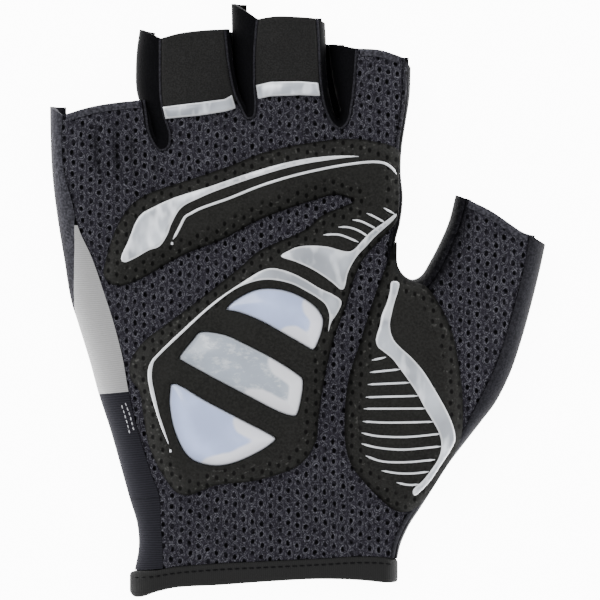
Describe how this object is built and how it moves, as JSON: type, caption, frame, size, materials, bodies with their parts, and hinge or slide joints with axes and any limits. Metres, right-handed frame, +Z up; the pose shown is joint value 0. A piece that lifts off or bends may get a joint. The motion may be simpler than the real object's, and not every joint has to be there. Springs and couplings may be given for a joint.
{
  "type": "cycling glove",
  "caption": "Fingerless padded cycling glove for the right hand, lying on its flat back with its mesh palm up.",
  "frame": {"origin": "middle of the glove's box, on the surface that its flat back lies on", "axes": "+X towards the thumb, +Y towards the fingertips, +Z up out of the palm"},
  "size_m": [0.144, 0.1724, 0.0233],
  "materials": {
    "air_mesh": "matte open mesh",
    "stretch_fabric": "smooth soft sheen",
    "grey_rib": "fine ribbed",
    "dark_rib": "fine ribbed",
    "tab_fabric": "matte",
    "suede": "matte suede",
    "silver_rubber": "satin",
    "gel": "clear, bluish"
  },
  "bodies": {
    "root": {"palm_panel": "air_mesh", "thumb_panel": "air_mesh", "back_panel": "stretch_fabric", "side_wrap": "stretch_fabric", "side_gusset": "grey_rib", "ribbed_elastic": "dark_rib", "lower_elastic": "stretch_fabric", "little_ring_fourchette": "stretch_fabric", "ring_middle_fourchette": "stretch_fabric", "middle_index_fourchette": "stretch_fabric", "little_ring_web": "stretch_fabric", "ring_middle_web": "stretch_fabric", "middle_index_web": "stretch_fabric", "index_side_wall": "stretch_fabric", "thumb_inner_wall": "stretch_fabric", "thumb_side_strip": "stretch_fabric", "cuff_binding": "dark_rib", "ring_pull_tab": "tab_fabric", "middle_pull_tab": "tab_fabric", "ring_tab_grip": "silver_rubber", "middle_tab_grip": "silver_rubber", "palm_pad": "suede", "thumb_pad": "suede", "gel_window_top": "gel", "gel_window_middle": "gel", "gel_window_bottom": "gel"}
  },
  "joints": []
}
